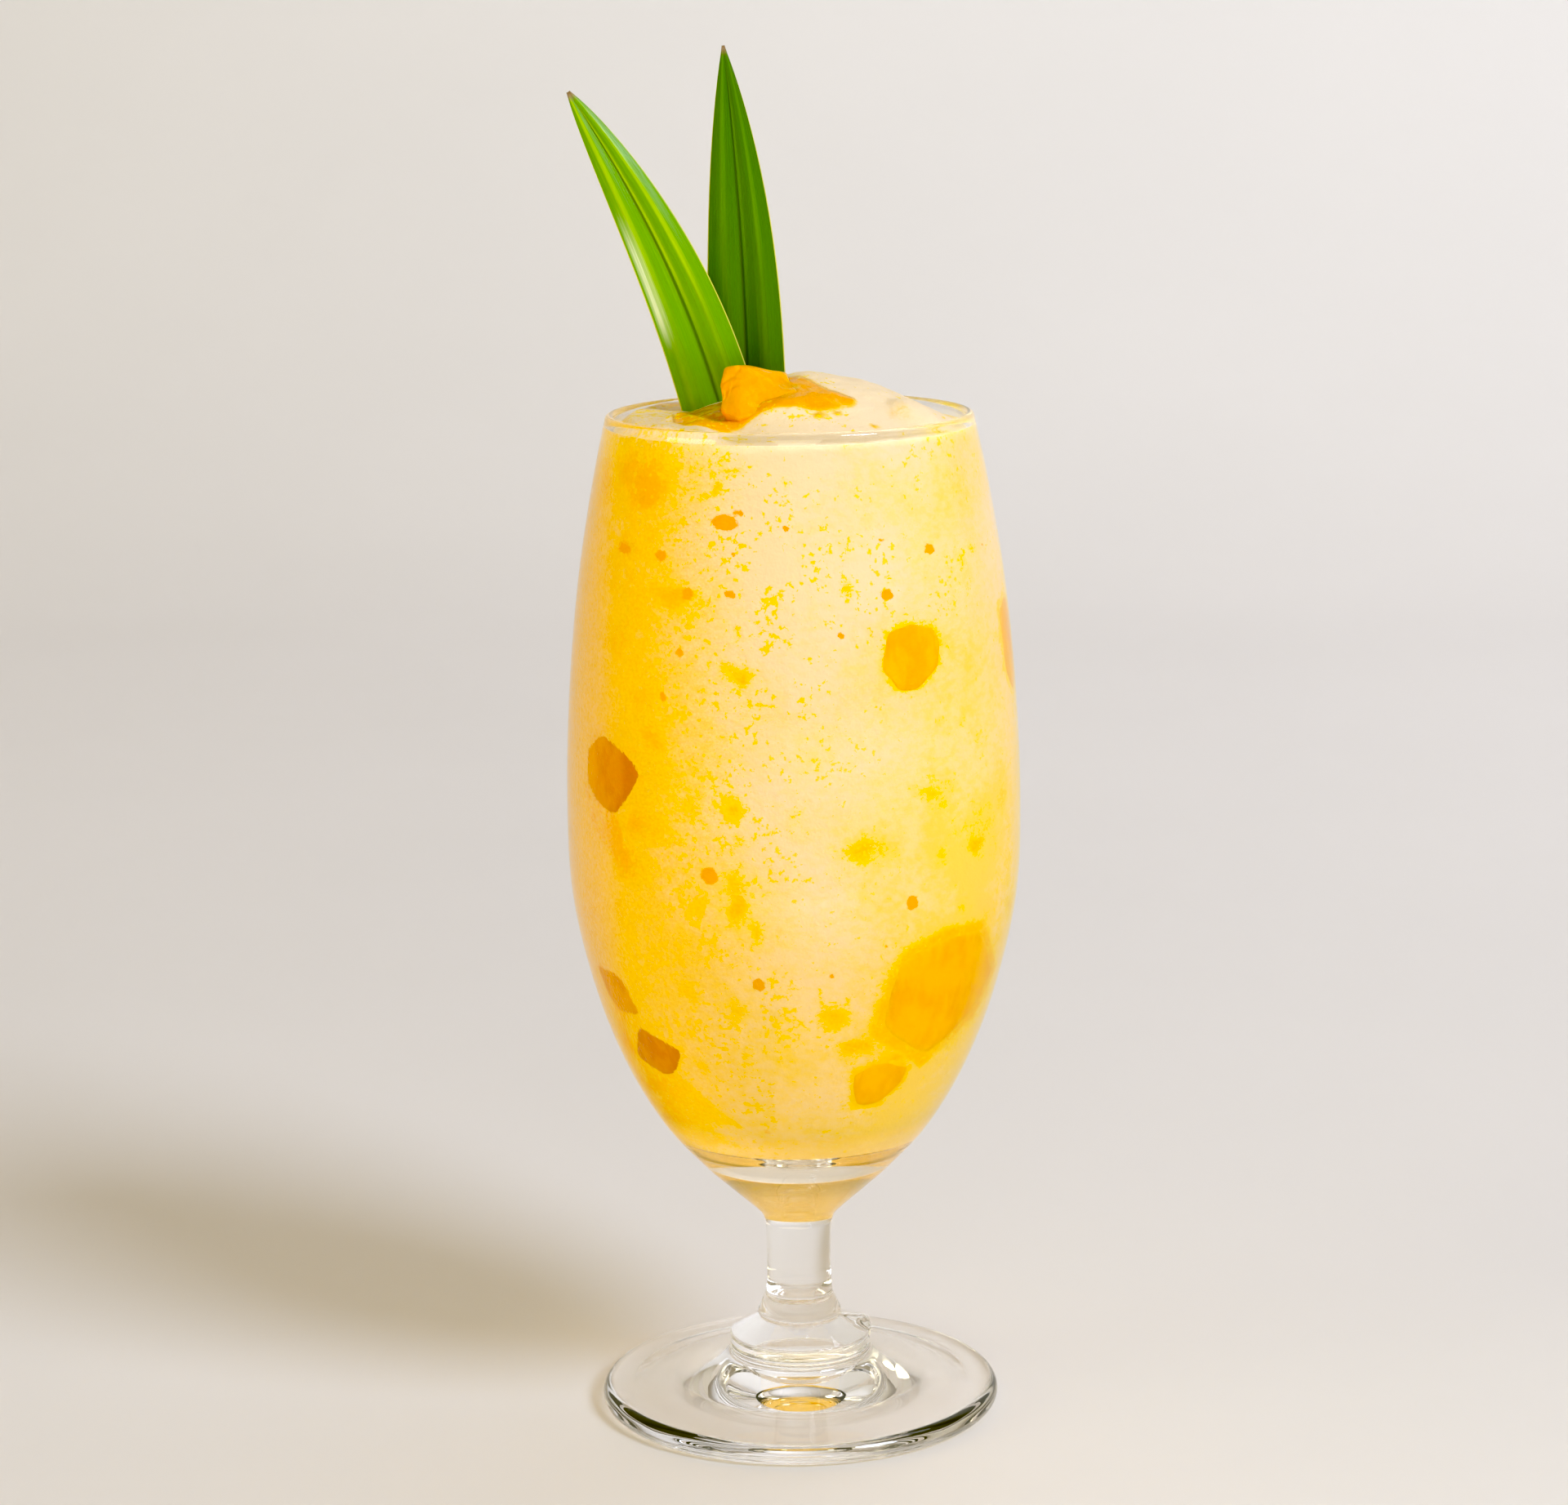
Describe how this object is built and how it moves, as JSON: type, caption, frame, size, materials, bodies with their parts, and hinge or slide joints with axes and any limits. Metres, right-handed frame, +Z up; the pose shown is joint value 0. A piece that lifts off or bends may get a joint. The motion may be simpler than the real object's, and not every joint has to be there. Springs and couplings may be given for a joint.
{
  "type": "mango smoothie",
  "caption": "Footed glass filled with mango smoothie, with mango chunks on top and against the glass and two long green leaves standing in it.",
  "frame": {"origin": "centre of the glass's foot, on the surface it stands on", "axes": "+Z up along the glass's axis; -Y is the front, the side that the picture shows; +X is the picture's right"},
  "size_m": [0.078, 0.078, 0.2363],
  "materials": {
    "glass": "clear, smooth",
    "smoothie": "opaque pale mango yellow, satin",
    "mango": "wet orange fruit, glossy",
    "leaf_left": "yellowish green leaf, satin",
    "leaf_right": "green leaf, satin"
  },
  "bodies": {
    "root": {"glass": "glass", "smoothie": "smoothie", "mango_chunk": "mango", "leaf_left": "leaf_left", "leaf_right": "leaf_right", "mango_left_high": "mango", "mango_left_strip": "mango", "mango_left_low": "mango", "mango_right_high": "mango", "mango_right_edge": "mango", "mango_right_big": "mango", "mango_right_low": "mango", "mango_back_high": "mango", "mango_back_middle": "mango", "mango_back_low": "mango"}
  },
  "joints": []
}
